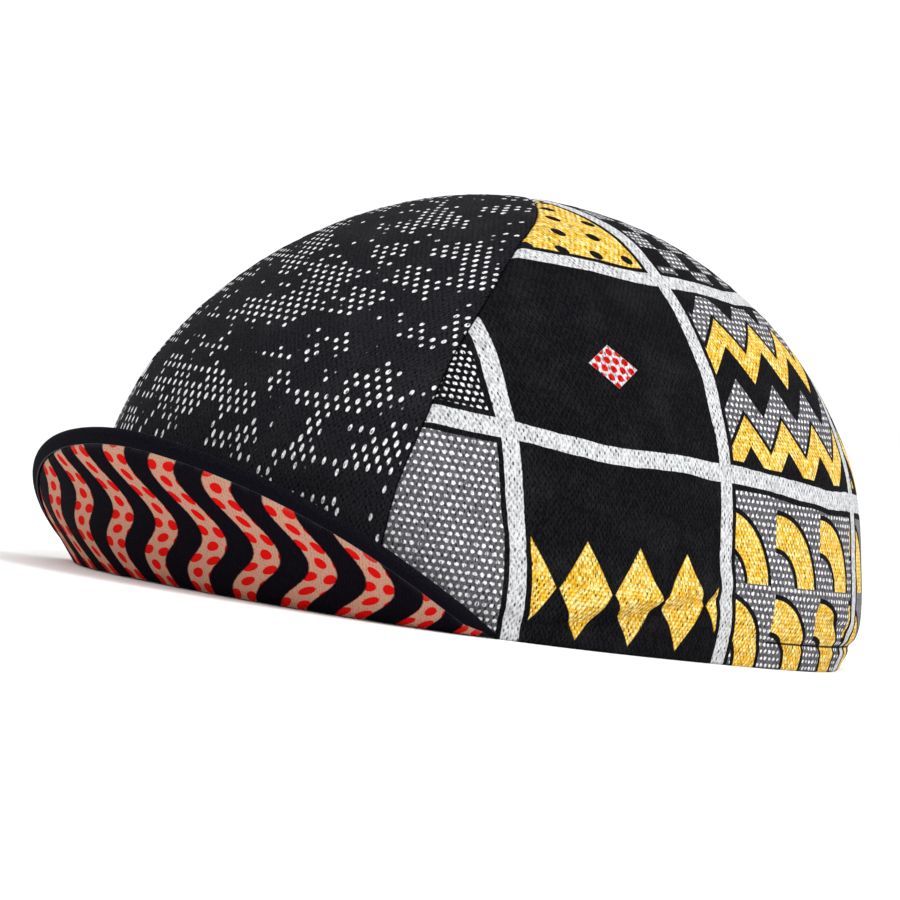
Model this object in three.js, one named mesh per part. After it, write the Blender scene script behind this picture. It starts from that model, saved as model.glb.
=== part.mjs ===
// A four-panel cycling cap that rests on its rim with the peak turned up.
// Millimetres, +Z up. The peak points to -Y, and +X is the wearer's left side.
import * as THREE from "three";

// Driving sizes of the crown, measured on its outer face at the rim
const rimFront = 98.2; // from the rim's middle to its front
const rimBack = 97.7; // from the rim's middle to its back
const rimSide = 80.6; // from the rim's middle to each side
const crownHeight = 106;
const squareness = 0.43; // how far the rim is from an ellipse towards a rectangle
const crownCloth = 1.2; // thickness of the jersey
const apexOpening = 1.5; // radius at which the four panels end, under the crossing of their seams

// The seam between the front and a side panel, as an angle from the front
const seamAtRim = 34.3;
const seamTurn = 9; // what it gains on the way to the top
const seamBend = 1.5; // how late it gains it

// The hem at the back, which holds the elastic
const hemHeight = 6.5;
const hemStart = 104; // angle from the front where its stitching begins
const hemDent = 0.8; // depth of its stitched line

// The terry sweatband, the tape below it, and the turned-up hem between their ends
const sweatbandTop = 33;
const sweatbandCloth = 1.5;
const tapeHeight = 11;
const tapeCloth = 1.2;
const bandOpening = 13; // angle from the back where the sweatband and the tape end
const rearHemCloth = 1.2;

// The peak, turned up against the front
const peakLength = 43.4;
const peakEnd = 54; // angle from the front where the peak runs out at the rim
const peakLean = 37.5; // lean from upright at the middle
const peakLeanDip = 18.2; // what the lean loses on the way to the ends
const peakLeanGain = 36.9; // what it gains close to them
const peakFullness = 1.92; // powers of the curve of its edge
const peakRoundness = 1.17;
const peakSquare = 0.96; // the share of peakEnd where its ends are cut square
const peakTopCloth = 1.3;
const peakUnderCloth = 1.2;
const edgeRoll = 3.6; // width of the top cloth that is turned over the edge
const edgeBulge = 0.5; // how far that roll stands proud
const peakLift = 0.4; // the peak's root clears the surface that the rim rests on

// Clearances
const seamGap = 0.3; // between pieces that are sewn side by side
const layerGap = 0.35; // between cloths that lie on each other

// Sections of the crown. Height is a share of crownHeight, and the others of the rim's sizes.
const sections = [
  { height: 0, front: 1, back: 1, side: 1 },
  { height: 0.12, front: 1.012, back: 1.064, side: 1.02 },
  { height: 0.28, front: 0.994, back: 1.051, side: 0.989 },
  { height: 0.44, front: 0.934, back: 1.008, side: 0.952 },
  { height: 0.6, front: 0.831, back: 0.915, side: 0.86 },
  { height: 0.74, front: 0.678, back: 0.774, side: 0.747 },
  { height: 0.86, front: 0.49, back: 0.588, side: 0.586 },
  { height: 0.95, front: 0.268, back: 0.36, side: 0.393 },
  { height: 1, front: 0, back: 0, side: 0 },
];

// Folds of the crown. Angles are degrees from the front, the height is a share of sweatbandTop,
// and the depth and the height's spread are shares of hemHeight.
const folds = [
  { angle: 76, spread: 17, height: 0.34, tall: 0.42, depth: 0.2 },
  { angle: -82, spread: 20, height: 0.3, tall: 0.45, depth: 0.13 },
  { angle: 156, spread: 12, height: 0.5, tall: 1.1, depth: 0.1 },
  { angle: -150, spread: 13, height: 0.55, tall: 1.2, depth: 0.1 },
];

// How finely the faceted solids are made
const columnStep = 5.8; // degrees
const rowSpacing = 0.006; // the least rise between two rows
const hemRows = [0.5, 0.8, 1.2, 1.45]; // shares of hemHeight
const crownRows = [0.14, 0.19, 0.25, 0.35, 0.44, 0.53, 0.62, 0.71, 0.8, 0.88, 0.94, 0.98];
const peakColumns = 32;

const fullTurn = 360;
const halfTurn = fullTurn / 2;
const degree = Math.PI / halfTurn;
const quarterTurn = Math.PI / 2;

// The rise runs from 0 at the rim to 1 at the top, as the angle of a round dome does
const riseOf = (heightShare) => Math.asin(Math.min(1, heightShare)) / quarterTurn;

// A smooth curve through one column of the sections that never overshoots them
function sectionCurve(column) {
  const at = sections.map((row) => riseOf(row.height));
  const value = sections.map((row) => row[column]);
  const last = at.length - 1;
  const slopes = at.slice(1).map((a, i) => (value[i + 1] - value[i]) / (a - at[i]));
  const tangents = value.map((v, i) => {
    if (i === 0 || i === last) return slopes[Math.min(i, last - 1)];
    const [before, after] = [slopes[i - 1], slopes[i]];
    return before * after <= 0 ? 0 : (2 * before * after) / (before + after);
  });
  return (rise) => {
    let i = 0;
    while (i < last - 1 && rise > at[i + 1]) i += 1;
    const width = at[i + 1] - at[i];
    const s = (rise - at[i]) / width;
    const [s2, s3] = [s * s, s * s * s];
    return (
      value[i] * (2 * s3 - 3 * s2 + 1) +
      value[i + 1] * (3 * s2 - 2 * s3) +
      width * tangents[i] * (s3 - 2 * s2 + s) +
      width * tangents[i + 1] * (s3 - s2)
    );
  };
}

const frontShare = sectionCurve("front");
const backShare = sectionCurve("back");
const sideShare = sectionCurve("side");

// The signed angle between two directions, in degrees
const angleBetween = (a, b) => ((((a - b) % fullTurn) + fullTurn + halfTurn) % fullTurn) - halfTurn;

const bell = (x) => Math.exp(-x * x);
const step = (x) => 1 / (1 + Math.exp(-x));

// How far the cloth is drawn in by the hem's stitching and by the folds
function drawnIn(angle, height) {
  const stitchSharpness = 4;
  const fadeIn = 6;
  const hemReach = step((Math.abs(angleBetween(angle, 0)) - hemStart) / fadeIn);
  let depth = hemDent * hemReach * bell((stitchSharpness * (height - hemHeight)) / hemHeight);
  for (const fold of folds) {
    const along = angleBetween(angle, fold.angle) / fold.spread;
    const up = (height - fold.height * sweatbandTop) / (fold.tall * hemHeight);
    depth += fold.depth * hemHeight * bell(along) * bell(up);
  }
  return depth;
}

// A point of the crown, at an angle from the front and a rise, a depth inside its outer face
function crownPoint(angle, rise, depth) {
  const height = (crownHeight - depth) * Math.sin(rise * quarterTurn);
  const power = 2 + squareness * Math.cos(rise * quarterTurn);
  const [c, s] = [Math.cos(angle * degree), Math.sin(angle * degree)];
  const round = (Math.abs(c) ** power + Math.abs(s) ** power) ** (-1 / power);
  const inside = depth + drawnIn(angle, height) * (1 - rise);
  const reach = c > 0 ? (rimFront - inside) * frontShare(rise) : (rimBack - inside) * backShare(rise);
  const x = (rimSide - inside) * sideShare(rise) * s * round;
  return new THREE.Vector3(x, -reach * c * round, height);
}

// The angle of the seam in front of a side panel, at a rise
const seamAngle = (rise) => seamAtRim + seamTurn * Math.sin(rise * quarterTurn) ** seamBend;

// A closed body between two faces, each a grid of points given by its column and row
function layerSolid(columns, rows, outerPoint, innerPoint) {
  const positions = [];
  for (const pointOf of [outerPoint, innerPoint]) {
    for (let i = 0; i <= columns; i++) {
      for (let j = 0; j <= rows; j++) positions.push(...pointOf(i, j).toArray());
    }
  }
  const outer = (i, j) => i * (rows + 1) + j;
  const inner = (i, j) => outer(i, j) + (columns + 1) * (rows + 1);
  const triangles = [];
  const quad = (a, b, c, d) => triangles.push(a, b, c, a, c, d);
  for (let i = 0; i < columns; i++) {
    for (let j = 0; j < rows; j++) {
      quad(outer(i, j), outer(i + 1, j), outer(i + 1, j + 1), outer(i, j + 1));
      quad(inner(i, j), inner(i, j + 1), inner(i + 1, j + 1), inner(i + 1, j));
    }
    quad(inner(i, 0), inner(i + 1, 0), outer(i + 1, 0), outer(i, 0));
    quad(outer(i, rows), outer(i + 1, rows), inner(i + 1, rows), inner(i, rows));
  }
  for (let j = 0; j < rows; j++) {
    quad(inner(0, j), outer(0, j), outer(0, j + 1), inner(0, j + 1));
    quad(outer(columns, j), inner(columns, j), inner(columns, j + 1), outer(columns, j + 1));
  }
  return indexedGeometry(positions, triangles);
}

// A closed body through rings of points, each ring a flat outline given by its column.
// Its triangles share the diagonal that starts at the outline's earlier point.
function loftSolid(columns, outlineOf, placeOf) {
  const positions = [];
  const triangles = [];
  const count = outlineOf(0).length;
  const turn = Math.sign(THREE.ShapeUtils.area(outlineOf(0)));
  const face = (a, b, c) => triangles.push(a, ...(turn > 0 ? [b, c] : [c, b]));
  for (let i = 0; i <= columns; i++) {
    for (const point of outlineOf(i)) positions.push(...placeOf(i, point).toArray());
  }
  for (let i = 0; i < columns; i++) {
    for (let k = 0; k < count; k++) {
      const [a, b] = [i * count + k, i * count + ((k + 1) % count)];
      face(a, b, b + count);
      face(a, b + count, a + count);
    }
  }
  for (const [i, direction] of [[0, -1], [columns, 1]]) {
    const ends = outlineOf(i);
    for (const [a, b, c] of THREE.ShapeUtils.triangulateShape(ends, [])) {
      const counterclockwise = THREE.ShapeUtils.area([ends[a], ends[b], ends[c]]) > 0;
      const [second, third] = counterclockwise === direction > 0 ? [b, c] : [c, b];
      triangles.push(i * count + a, i * count + second, i * count + third);
    }
  }
  return indexedGeometry(positions, triangles);
}

function indexedGeometry(positions, triangles) {
  const geometry = new THREE.BufferGeometry();
  geometry.setAttribute("position", new THREE.Float32BufferAttribute(positions, 3));
  geometry.setIndex(triangles);
  geometry.computeVertexNormals();
  return geometry;
}

const cap = new THREE.Group();

function addPiece(name, geometry, colour, roughness) {
  const material = new THREE.MeshStandardMaterial({ color: colour, roughness, metalness: 0 });
  const mesh = new THREE.Mesh(geometry, material);
  mesh.name = name;
  cap.add(mesh);
}

// The rises of the crown's rows: close together at the hem, at the edges of what lines it,
// and then up to where the panels end
const topRise = 1 - apexOpening / rimSide;
const edgeRises = [0, hemHeight, tapeHeight, tapeHeight + seamGap, sweatbandTop].map((h) => riseOf(h / crownHeight));
const freeRises = [...hemRows.map((share) => (share * hemHeight) / crownHeight), ...crownRows].map(riseOf);
const apart = (rise) => edgeRises.every((edge) => Math.abs(rise - edge) > rowSpacing);
const rowRises = [...edgeRises, ...freeRises.filter(apart), topRise].sort((a, b) => a - b);

// One panel of the crown, between two seams
function crownPanel(name, startOf, endOf, colour) {
  const columns = Math.ceil((endOf(0) - startOf(0)) / columnStep);
  const pointAt = (depth) => (i, j) => {
    const rise = rowRises[j];
    const radius = crownPoint(startOf(rise), rise, depth).setZ(0).length();
    const halfGap = seamGap / 2 / radius / degree;
    const [start, end] = [startOf(rise) + halfGap, endOf(rise) - halfGap];
    return crownPoint(start + ((end - start) * i) / columns, rise, depth);
  };
  addPiece(name, layerSolid(columns, rowRises.length - 1, pointAt(0), pointAt(crownCloth)), colour, 0.85);
}

const mirrored = (seam) => (rise) => halfTurn - seam(rise);
const negative = (seam) => (rise) => -seam(rise);
const frontSeam = seamAngle;
const backSeam = mirrored(seamAngle);
const wrapped = (seam) => (rise) => fullTurn - seam(rise);
crownPanel("crown_front", negative(frontSeam), frontSeam, 0x1e1d22);
crownPanel("crown_left", frontSeam, backSeam, 0x232227);
crownPanel("crown_right", negative(backSeam), negative(frontSeam), 0x232227);
crownPanel("crown_back", backSeam, wrapped(backSeam), 0x1e1d22);

// A band that lines the crown from one angle to another and from one height to another.
// It has the crown's own rows, so that it follows the folds.
function liningBand(name, startAngle, endAngle, bottom, top, cloth, colour) {
  const columns = Math.ceil((endAngle - startAngle) / columnStep);
  const [low, high] = [riseOf(bottom / crownHeight), riseOf(top / crownHeight)];
  const between = rowRises.filter((rise) => rise > low + rowSpacing && rise < high - rowSpacing);
  const rises = [low, ...between, high];
  const pointAt = (depth) => (i, j) => {
    return crownPoint(startAngle + ((endAngle - startAngle) * i) / columns, rises[j], depth);
  };
  const outside = crownCloth + layerGap;
  addPiece(name, layerSolid(columns, rises.length - 1, pointAt(outside), pointAt(outside + cloth)), colour, 0.9);
}

const bandEnd = halfTurn - bandOpening;
const hemEnd = bandEnd + seamGap / (rimBack * degree);
liningBand("sweatband", -bandEnd, bandEnd, tapeHeight + seamGap, sweatbandTop, sweatbandCloth, 0x9fb0bf);
liningBand("sweatband_tape", -bandEnd, bandEnd, 0, tapeHeight, tapeCloth, 0xdde5f0);
liningBand("rear_hem", hemEnd, fullTurn - hemEnd, 0, hemHeight, rearHemCloth, 0xd7dfec);

// The peak. Its section at each angle has a length out from the root, and a level that counts
// forward from the face at the crown.
const peakThickness = peakTopCloth + layerGap + peakUnderCloth;
const rootRise = riseOf((peakLift + peakThickness) / crownHeight);
const peakPlace = (i) => Math.sin((-1 + (2 * i) / peakColumns) * quarterTurn) * peakSquare;
const peakLengthAt = (place) => peakLength * (1 - Math.abs(place) ** peakFullness) ** peakRoundness;
const peakLeanAt = (place) => (peakLean - peakLeanDip * place ** 2 + peakLeanGain * place ** 4) * degree;

function peakPoint(i, { x: along, y: level }) {
  const place = peakPlace(i);
  const angle = place * peakEnd;
  const root = crownPoint(angle, rootRise, -layerGap);
  const beside = crownPoint(angle + 1, rootRise, 0).sub(crownPoint(angle - 1, rootRise, 0));
  const outward = new THREE.Vector3(beside.y, -beside.x, 0).normalize();
  const lean = peakLeanAt(place);
  const out = along * Math.sin(lean) + level * Math.cos(lean);
  const up = along * Math.cos(lean) + (peakThickness - level) * Math.sin(lean);
  return root.addScaledVector(outward, out).setZ(peakLift + up);
}

// The length of the peak's section and the part of it that the rolled edge takes
function peakSection(i) {
  const length = peakLengthAt(peakPlace(i));
  return { length, roll: Math.min(edgeRoll, length / 2) };
}

const outline = (points) => points.map(([along, level]) => new THREE.Vector2(along, level));

// The top cloth, which is turned over the edge onto the underside
function peakTopOutline(i) {
  const { length, roll } = peakSection(i);
  const bulge = (edgeBulge * roll) / edgeRoll;
  return outline([
    [0, 0],
    [0, peakTopCloth],
    [length - roll, peakTopCloth],
    [length - roll, peakThickness + bulge],
    [length - bulge, peakThickness + bulge],
    [length + bulge, peakThickness / 2],
    [length, 0],
  ]);
}

function peakUnderOutline(i) {
  const { length, roll } = peakSection(i);
  const back = peakTopCloth + layerGap;
  return outline([
    [0, back],
    [length - roll - seamGap, back],
    [length - roll - seamGap, peakThickness],
    [0, peakThickness],
  ]);
}

addPiece("peak_top", loftSolid(peakColumns, peakTopOutline, peakPoint), 0x18171c, 0.8);
addPiece("peak_underside", loftSolid(peakColumns, peakUnderOutline, peakPoint), 0xc9967d, 0.75);

// The frame's origin is under the middle of the whole cap, on the surface that it rests on
const middle = new THREE.Box3().setFromObject(cap, true).getCenter(new THREE.Vector3());
cap.position.set(-middle.x, -middle.y, 0);

export default cap;
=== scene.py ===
"""The looks of a cycling cap that rests on its rim, its peak turned up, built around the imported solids."""

import math

import bpy
import numpy as np
from mathutils import Matrix, Vector


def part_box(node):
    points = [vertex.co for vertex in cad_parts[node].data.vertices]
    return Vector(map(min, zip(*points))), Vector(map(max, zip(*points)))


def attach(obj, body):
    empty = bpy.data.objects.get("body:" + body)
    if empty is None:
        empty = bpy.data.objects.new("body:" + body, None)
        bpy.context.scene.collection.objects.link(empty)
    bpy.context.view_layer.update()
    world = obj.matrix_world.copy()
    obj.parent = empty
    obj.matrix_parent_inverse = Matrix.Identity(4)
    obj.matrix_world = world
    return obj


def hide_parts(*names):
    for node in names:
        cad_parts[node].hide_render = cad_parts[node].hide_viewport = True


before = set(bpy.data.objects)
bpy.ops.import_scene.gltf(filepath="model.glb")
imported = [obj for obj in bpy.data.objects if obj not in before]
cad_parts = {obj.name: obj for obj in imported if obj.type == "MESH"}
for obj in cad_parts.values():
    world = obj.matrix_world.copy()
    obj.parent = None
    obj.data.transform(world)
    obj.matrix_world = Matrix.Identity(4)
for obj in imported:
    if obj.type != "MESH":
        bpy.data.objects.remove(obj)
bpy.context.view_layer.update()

MM = 0.001
TURN = 2 * math.pi

# The crown's sizes, as in the solids
RIM_FRONT = 98.2 * MM
RIM_BACK = 97.7 * MM
RIM_SIDE = 80.6 * MM
CROWN_HEIGHT = 106 * MM
SQUARENESS = 0.43
CROWN_CLOTH = 1.2 * MM
SEAM_AT_RIM = 34.3
SEAM_TURN = 9
SEAM_BEND = 1.5
HEM_HEIGHT = 6.5 * MM
HEM_START = 104
HEM_DENT = 0.8 * MM
SWEATBAND_TOP = 33 * MM
SWEATBAND_CLOTH = 1.5 * MM
TAPE_HEIGHT = 11 * MM
TAPE_CLOTH = 1.2 * MM
BAND_END = 167
LAYER_GAP = 0.35 * MM

# The peak's sizes, as in the solids
PEAK_LENGTH = 43.4 * MM
PEAK_END = 54
PEAK_LEAN = 37.5
PEAK_LEAN_DIP = 18.2
PEAK_LEAN_GAIN = 36.9
PEAK_FULLNESS = 1.92
PEAK_ROUNDNESS = 1.17
PEAK_TOP_CLOTH = 1.3 * MM
PEAK_UNDER_CLOTH = 1.2 * MM
EDGE_ROLL = 3.6 * MM
EDGE_BULGE = 0.5 * MM
PEAK_LIFT = 0.4 * MM
PEAK_THICKNESS = PEAK_TOP_CLOTH + LAYER_GAP + PEAK_UNDER_CLOTH

# Sections of the crown: height, front, back and side, as shares of the crown's height and the rim's sizes
SECTIONS = np.array([
    (0.00, 1.000, 1.000, 1.000),
    (0.12, 1.012, 1.064, 1.020),
    (0.28, 0.994, 1.051, 0.989),
    (0.44, 0.934, 1.008, 0.952),
    (0.60, 0.831, 0.915, 0.860),
    (0.74, 0.678, 0.774, 0.747),
    (0.86, 0.490, 0.588, 0.586),
    (0.95, 0.268, 0.360, 0.393),
    (1.00, 0.000, 0.000, 0.000),
])

# The rim's middle on the floor, from the frame: the peak is the same on both sides, and the back
# of the rim lies RIM_BACK behind the middle
peak_low, peak_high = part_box("peak_top")
back_rim = max(v.co.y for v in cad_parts["crown_back"].data.vertices if v.co.z < 0.1 * MM)
RIM_MIDDLE = np.array([(peak_low.x + peak_high.x) / 2, back_rim - RIM_BACK, 0.0])


# Camera, floor and light, in metres and degrees, with the sensor's width in millimetres

PHOTO_PIXELS = 900
PIXELS_PER_METRE = 4000
CAMERA_DISTANCE = 1.5
CAMERA_AZIMUTH = 42.9
CAMERA_ELEVATION = 2.5
CAMERA_ROLL = 8.5
RIM_MIDDLE_PIXEL = (466.3, 617.4)
SENSOR = 36
FLOOR_SIZE = 60
FLOOR_SHADE = 0.94
WORLD_STRENGTH = 1.08


def direction_from(azimuth, elevation):
    """The direction in which something lies that is seen from the cap, by its azimuth and elevation."""
    a, e = math.radians(azimuth), math.radians(elevation)
    return Vector((math.sin(a) * math.cos(e), -math.cos(a) * math.cos(e), math.sin(e)))


def add_camera():
    """The photograph's direction round the cap and its tilt in the picture, from just above the floor."""
    azimuth, roll = math.radians(CAMERA_AZIMUTH), math.radians(CAMERA_ROLL)
    back = direction_from(CAMERA_AZIMUTH, CAMERA_ELEVATION)
    level = Vector((math.cos(azimuth), math.sin(azimuth), 0))
    upright = back.cross(level)
    across = level * math.cos(roll) + upright * math.sin(roll)
    up = upright * math.cos(roll) - level * math.sin(roll)
    middle = Vector(RIM_MIDDLE)
    place = middle + back * CAMERA_DISTANCE
    half = PHOTO_PIXELS / 2
    target = (
        middle
        + across * (half - RIM_MIDDLE_PIXEL[0]) / PIXELS_PER_METRE
        - up * (half - RIM_MIDDLE_PIXEL[1]) / PIXELS_PER_METRE
    )
    away = (place - target).normalized()
    across = up.cross(away).normalized()
    up = away.cross(across)
    camera = bpy.data.objects.new("camera", bpy.data.cameras.new("camera"))
    camera.matrix_world = Matrix((across, up, away)).transposed().to_4x4()
    camera.matrix_world.translation = place
    camera.data.sensor_width = SENSOR
    camera.data.lens = PIXELS_PER_METRE * CAMERA_DISTANCE / PHOTO_PIXELS * SENSOR
    bpy.context.scene.collection.objects.link(camera)
    bpy.context.scene.camera = camera


def add_area_light(name, azimuth, elevation, distance, size, power):
    """A soft square light that looks at the cap."""
    back = direction_from(azimuth, elevation)
    data = bpy.data.lights.new(name, "AREA")
    data.size = size
    data.energy = power
    light = bpy.data.objects.new(name, data)
    light.location = Vector(RIM_MIDDLE) + back * distance
    light.rotation_euler = back.to_track_quat("Z", "Y").to_euler()
    bpy.context.scene.collection.objects.link(light)


def add_surroundings():
    """A pale floor in even light, with a soft key from the right and a weaker light from the front."""
    half = FLOOR_SIZE / 2
    corners = [(-half, -half, 0), (half, -half, 0), (half, half, 0), (-half, half, 0)]
    mesh = bpy.data.meshes.new("floor")
    mesh.from_pydata(corners, [], [(0, 1, 2, 3)])
    floor = bpy.data.objects.new("floor", mesh)
    bpy.context.scene.collection.objects.link(floor)
    material = bpy.data.materials.new("floor")
    material.use_nodes = True
    shader = material.node_tree.nodes["Principled BSDF"]
    shader.inputs["Base Color"].default_value = (FLOOR_SHADE, FLOOR_SHADE, FLOOR_SHADE, 1)
    shader.inputs["Roughness"].default_value = 1.0
    shader.inputs["Specular IOR Level"].default_value = 0.0
    mesh.materials.append(material)
    world = bpy.data.worlds.new("studio")
    world.use_nodes = True
    background = world.node_tree.nodes["Background"]
    background.inputs["Color"].default_value = (1, 1, 1, 1)
    background.inputs["Strength"].default_value = WORLD_STRENGTH
    bpy.context.scene.world = world
    bpy.context.scene.view_settings.view_transform = "Standard"
    add_area_light("key", azimuth=88, elevation=50, distance=1.3, size=0.6, power=9.5)
    add_area_light("front", azimuth=-25, elevation=40, distance=1.6, size=0.9, power=2.5)


# Shapes of the crown and the peak


def rise_of(height_share):
    """The rise runs from 0 at the rim to 1 at the top, as the angle of a round dome does."""
    return np.arcsin(np.clip(height_share, 0, 1)) / (np.pi / 2)


def section_curve(column):
    """A smooth curve through one column of the sections that never overshoots them."""
    at = rise_of(SECTIONS[:, 0])
    value = SECTIONS[:, column]
    slope = np.diff(value) / np.diff(at)
    tangent = np.empty_like(value)
    tangent[0], tangent[-1] = slope[0], slope[-1]
    before, after = slope[:-1], slope[1:]
    same_way = before * after > 0
    total = np.where(same_way, before + after, 1)
    tangent[1:-1] = np.where(same_way, 2 * before * after / total, 0)

    def curve(rise):
        i = np.clip(np.searchsorted(at, rise, side="right") - 1, 0, len(at) - 2)
        width = at[i + 1] - at[i]
        s = (rise - at[i]) / width
        return (
            value[i] * (2 * s**3 - 3 * s**2 + 1)
            + value[i + 1] * (3 * s**2 - 2 * s**3)
            + width * tangent[i] * (s**3 - 2 * s**2 + s)
            + width * tangent[i + 1] * (s**3 - s**2)
        )

    return curve


front_share, back_share, side_share = (section_curve(i) for i in (1, 2, 3))


def bell(x):
    return np.exp(-x * x)


def angle_between(a, b):
    return (a - b + 180) % 360 - 180


def plain_crown_point(angle, rise, depth):
    """A point of the smooth crown at an angle from the front, in degrees, a depth inside its outer face."""
    angle, rise, depth = np.broadcast_arrays(angle, rise, depth)
    height = (CROWN_HEIGHT - depth) * np.sin(rise * np.pi / 2)
    power = 2 + SQUARENESS * np.cos(rise * np.pi / 2)
    c, s = np.cos(np.radians(angle)), np.sin(np.radians(angle))
    rounding = (np.abs(c) ** power + np.abs(s) ** power) ** (-1 / power)
    reach = np.where(c > 0, (RIM_FRONT - depth) * front_share(rise), (RIM_BACK - depth) * back_share(rise))
    x = (RIM_SIDE - depth) * side_share(rise) * s * rounding
    return np.stack([x, -reach * c * rounding, height], -1) + RIM_MIDDLE


# Soft folds: angle, its spread, height, slope of the height with the angle, spread of the height, depth
FOLDS = (
    (76, 12, 10.8 * MM, 0.36 * MM, 1.8 * MM, 2.1 * MM),
    (60, 13, 5.5 * MM, 0.10 * MM, 1.6 * MM, 0.6 * MM),
    (-82, 18, 10.0 * MM, -0.30 * MM, 1.7 * MM, 1.4 * MM),
    (118, 9, 12.5 * MM, -0.35 * MM, 1.8 * MM, 0.7 * MM),
    (156, 10, 16.0 * MM, 0.50 * MM, 3.5 * MM, 0.6 * MM),
    (-150, 12, 18.0 * MM, -0.45 * MM, 3.5 * MM, 0.7 * MM),
    (-118, 9, 11.0 * MM, 0.40 * MM, 2.0 * MM, 0.5 * MM),
    (-12, 14, 30.0 * MM, 0.20 * MM, 5.0 * MM, 0.35 * MM),
)
# A fold ends sharply above and softly below, and the cloth swells a little over it
FOLD_SHARP = 1.4
FOLD_SOFT = 0.6
SWELL = 0.6
SWELL_PLACE = 1.9
SWELL_SPREAD = 1.3

# The hem's stitching fades in at the sides, and its gathers grow towards the back
HEM_FADE = 6
HEM_DENT_SPREAD = 1.1 * MM
GATHER_START = 130
GATHER_SPAN = 30
SIDE_GATHER = 0.14 * MM
BACK_GATHER = 0.16 * MM
GATHER_REACH = 7 * MM
GATHERS = 71
SMALL_GATHERS = 113
UNEVEN_DEPTH = 0.35 * MM
UNEVEN_START = 20 * MM


def drawn_in(angle, rise):
    """How far folds, gathers and the hem's stitching draw the cloth in."""
    height = CROWN_HEIGHT * np.sin(rise * np.pi / 2)
    turned = np.radians(angle)
    from_front = np.abs(angle_between(angle, 0))
    hem_reach = 1 / (1 + np.exp(-(from_front - HEM_START) / HEM_FADE))
    gathered = SIDE_GATHER + BACK_GATHER * np.clip((from_front - GATHER_START) / GATHER_SPAN, 0, 1)
    depth = HEM_DENT * hem_reach * bell((height - HEM_HEIGHT) / HEM_DENT_SPREAD)
    gather = np.sin(turned * GATHERS) + 0.6 * np.sin(turned * SMALL_GATHERS + 2)
    depth = depth + gathered * hem_reach * gather * np.exp(-np.abs(height - HEM_HEIGHT) / GATHER_REACH)
    for at, spread, level, slope, tall, deep in FOLDS:
        along = angle_between(angle, at)
        up = (height - level - slope * along) / tall
        overhung = np.where(up > 0, bell(up * FOLD_SHARP), bell(up * FOLD_SOFT))
        swell = SWELL * bell((up - SWELL_PLACE) / SWELL_SPREAD)
        depth = depth + deep * bell(along / spread) * (overhung - swell)
    x, y = np.sin(turned), np.cos(turned)
    uneven = np.sin(5 * x + 7 * rise + 1) * np.sin(4 * y - 5 * rise) + 0.5 * np.sin(9 * y + 11 * rise)
    return depth + UNEVEN_DEPTH * uneven * (1 - rise) * np.clip(height / UNEVEN_START, 0, 1)


def crown_point(angle, rise, depth):
    return plain_crown_point(angle, rise, depth + drawn_in(angle, rise) * (1 - np.asarray(rise) ** 4))


def seam_angle(rise):
    return SEAM_AT_RIM + SEAM_TURN * np.sin(rise * np.pi / 2) ** SEAM_BEND


def back_seam(rise):
    return 180 - seam_angle(rise)


def peak_length_at(place):
    return PEAK_LENGTH * (1 - np.abs(place) ** PEAK_FULLNESS) ** PEAK_ROUNDNESS


def peak_lean(place):
    """How far the peak leans out from upright, in radians."""
    return np.radians(PEAK_LEAN - PEAK_LEAN_DIP * place**2 + PEAK_LEAN_GAIN * place**4)


def peak_point(place, along, level):
    """A point of the peak: its place from -1 to 1, its length from the root, its level out from the crown."""
    place, along, level = np.broadcast_arrays(place, along, level)
    root_rise = rise_of((PEAK_LIFT + PEAK_THICKNESS) / CROWN_HEIGHT)
    angle = place * PEAK_END
    root = plain_crown_point(angle, root_rise, -LAYER_GAP)
    beside = plain_crown_point(angle + 1, root_rise, 0) - plain_crown_point(angle - 1, root_rise, 0)
    outward = np.stack([beside[..., 1], -beside[..., 0], 0 * beside[..., 2]], -1)
    outward = outward / np.linalg.norm(outward, axis=-1, keepdims=True)
    lean = peak_lean(place)
    out = along * np.sin(lean) + level * np.cos(lean)
    point = root + outward * out[..., None]
    point[..., 2] = PEAK_LIFT + along * np.cos(lean) + (PEAK_THICKNESS - level) * np.sin(lean)
    return point


# Meshes


def add_piece(name, points, faces, node, materials, coordinates, face_materials=None, attributes=()):
    """A smooth mesh that rides on the cap. Coordinates are millimetres on the cloth, kept as a UV map."""
    mesh = bpy.data.meshes.new(name)
    mesh.from_pydata([tuple(p) for p in points], [], faces)
    for material in materials:
        mesh.materials.append(material)
    if face_materials is not None:
        mesh.polygons.foreach_set("material_index", face_materials)
    mesh.polygons.foreach_set("use_smooth", [True] * len(mesh.polygons))
    loops = np.empty(len(mesh.loops), np.int32)
    mesh.loops.foreach_get("vertex_index", loops)
    uv = mesh.uv_layers.new(name="cloth")
    uv.data.foreach_set("uv", np.asarray(coordinates, np.float32)[loops].ravel())
    for title, values in attributes:
        layer = mesh.attributes.new(title, "FLOAT", "POINT")
        layer.data.foreach_set("value", np.asarray(values, np.float32))
    mesh.update()
    piece = bpy.data.objects.new(name, mesh)
    bpy.context.scene.collection.objects.link(piece)
    if node:
        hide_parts(node)
    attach(piece, "root")


def grid_faces(columns, rows, start=0):
    """Quads between columns + 1 rings of rows points each."""
    faces = []
    for i in range(columns):
        for j in range(rows):
            a = start + i * rows + j
            b = start + i * rows + (j + 1) % rows
            faces.append((a, a + rows, b + rows, b))
    return faces


def loft_faces(columns, rows, start=0):
    """Faces of a closed body through columns + 1 rings of rows points each, with its two ends."""
    faces = grid_faces(columns, rows, start)
    faces.append(tuple(start + k for k in range(rows)))
    faces.append(tuple(start + columns * rows + k for k in reversed(range(rows))))
    return [face[::-1] for face in faces]


FINE_STEPS = 801


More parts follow.
